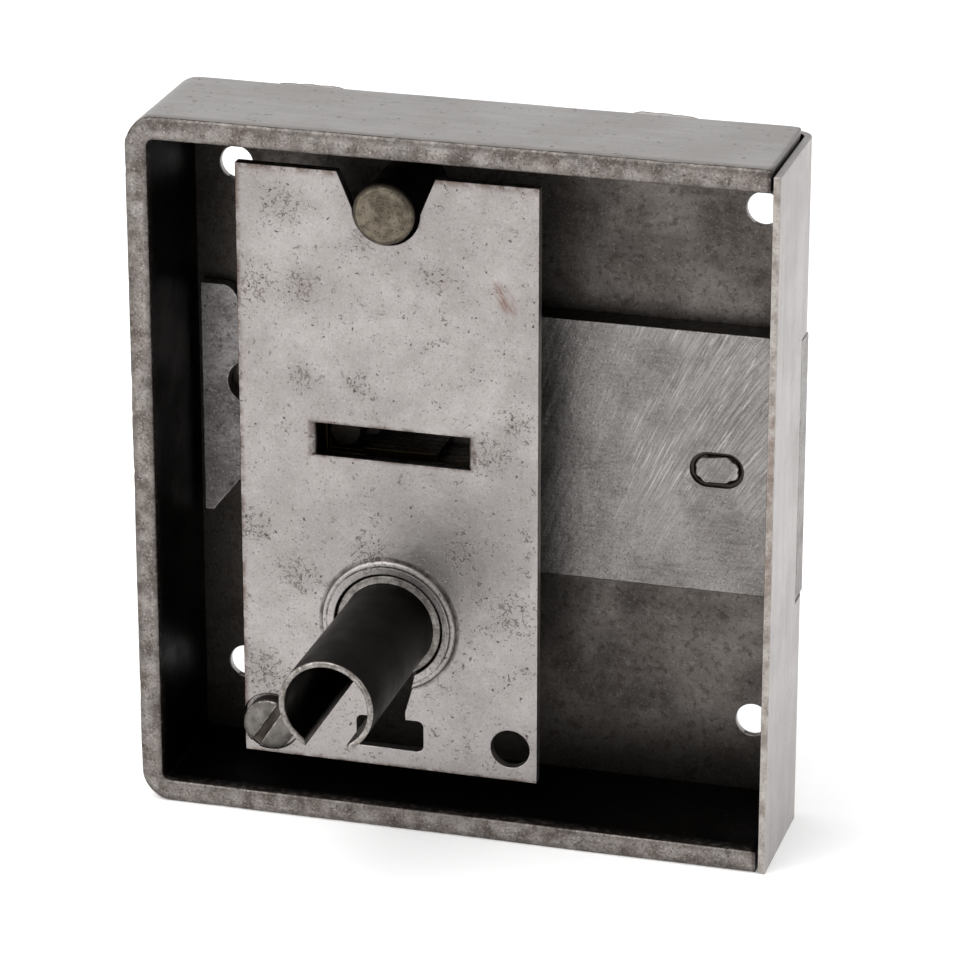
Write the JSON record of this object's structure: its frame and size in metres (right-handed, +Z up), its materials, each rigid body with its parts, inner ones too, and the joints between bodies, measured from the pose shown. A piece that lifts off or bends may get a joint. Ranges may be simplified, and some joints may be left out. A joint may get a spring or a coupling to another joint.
{
  "type": "deadbolt rim lock",
  "caption": "Rectangular steel rim deadlock, open on its cover side, with a sliding bolt, sprung tumblers and a long slotted key tube.",
  "frame": {"origin": "the key axis in the plane of the case's front rim", "axes": "+X the way the bolt is thrown, +Z up, and the open cover side with the key tube faces -Y"},
  "size_m": [0.086, 0.0427, 0.096],
  "materials": {
    "sheet_steel": "worn bare sheet steel, dull dark grey with light rust",
    "band_steel": "bare strip steel, mottled and lightly pitted",
    "cover_steel": "pale bare steel, finely pitted, rust scuffs",
    "bolt_steel": "ground steel with slanting file marks",
    "tail_steel": "pickled sheet steel, speckled",
    "post_steel": "turned steel with an olive-brown tarnish",
    "screw_steel": "bare steel screw, worn slot",
    "tube_steel": "dark oxidised rolled tube with a bright cut edge",
    "brass": "dull stamped brass",
    "spring_steel": "blued spring steel"
  },
  "bodies": {
    "case": {"lock_plate": "sheet_steel", "rim_band": "band_steel", "cover_plate": "cover_steel", "cover_screw": "screw_steel", "screw_pillar": "post_steel", "spring_post": "post_steel", "tumbler_guides": "post_steel", "bolt_guide": "post_steel", "tube_seat": "post_steel"},
    "bolt": {"bolt_head": "bolt_steel", "bolt_tail": "tail_steel", "bolt_rivet": "bolt_steel", "bolt_stump": "post_steel"},
    "tube": {"key_tube": "tube_steel"},
    "tumbler_1": {"tumbler_1": "brass", "tumbler_spring_1": "spring_steel"},
    "tumbler_2": {"tumbler_2": "brass", "tumbler_spring_2": "spring_steel"},
    "tumbler_3": {"tumbler_3": "brass", "tumbler_spring_3": "spring_steel"},
    "tumbler_4": {"tumbler_4": "brass", "tumbler_spring_4": "spring_steel"},
    "tumbler_5": {"tumbler_5": "brass", "tumbler_spring_5": "spring_steel"}
  },
  "joints": [
    {"name": "bolt_throw", "type": "slide", "parent": "case", "child": "bolt", "axis": [1, 0, 0], "range_m": [0, 0.015]},
    {"name": "tube_turn", "type": "hinge", "parent": "case", "child": "tube", "pos_m": [0, 0, 0], "axis": [0, 1, 0], "continuous": true},
    {"name": "tumbler_1_lift", "type": "slide", "parent": "case", "child": "tumbler_1", "axis": [0, 0, 1], "range_m": [-0.0025, 0.001], "stiffness_N_per_m": 200, "springref_m": -0.0055, "deforming": ["tumbler_spring_1"]},
    {"name": "tumbler_2_lift", "type": "slide", "parent": "case", "child": "tumbler_2", "axis": [0, 0, 1], "range_m": [-0.0025, 0.001], "stiffness_N_per_m": 200, "springref_m": -0.0055, "deforming": ["tumbler_spring_2"]},
    {"name": "tumbler_3_lift", "type": "slide", "parent": "case", "child": "tumbler_3", "axis": [0, 0, 1], "range_m": [-0.0025, 0.001], "stiffness_N_per_m": 200, "springref_m": -0.0055, "deforming": ["tumbler_spring_3"]},
    {"name": "tumbler_4_lift", "type": "slide", "parent": "case", "child": "tumbler_4", "axis": [0, 0, 1], "range_m": [-0.0025, 0.001], "stiffness_N_per_m": 200, "springref_m": -0.0055, "deforming": ["tumbler_spring_4"]},
    {"name": "tumbler_5_lift", "type": "slide", "parent": "case", "child": "tumbler_5", "axis": [0, 0, 1], "range_m": [-0.0025, 0.001], "stiffness_N_per_m": 200, "springref_m": -0.0055, "deforming": ["tumbler_spring_5"]}
  ]
}
